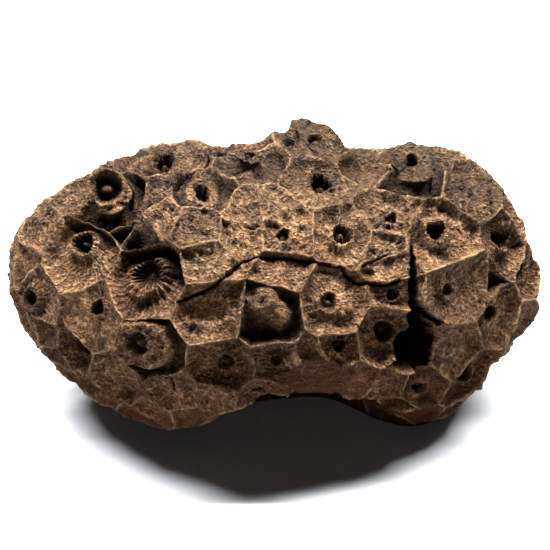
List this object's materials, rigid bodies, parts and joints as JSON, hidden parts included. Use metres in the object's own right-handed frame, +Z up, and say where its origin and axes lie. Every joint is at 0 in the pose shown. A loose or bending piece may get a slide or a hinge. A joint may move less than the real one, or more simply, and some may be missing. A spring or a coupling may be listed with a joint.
{
  "type": "fossil coral head",
  "caption": "Natural lump of fossil coral: polygonal corallites with raised walls and central pits over a long rounded body, cut off flat underneath.",
  "frame": {"origin": "on the flat cut face underneath, below the middle of the head's length and depth", "axes": "+X along the head's length, towards the end with the two deep open pits; +Y to the back; +Z up from the cut face"},
  "size_m": [0.149, 0.0962, 0.0823],
  "materials": {
    "silicified_coral": "rough weathered mineral surface, iron-stained, paler on the wall crests"
  },
  "bodies": {
    "root": {"coral_head": "silicified_coral"}
  },
  "joints": []
}
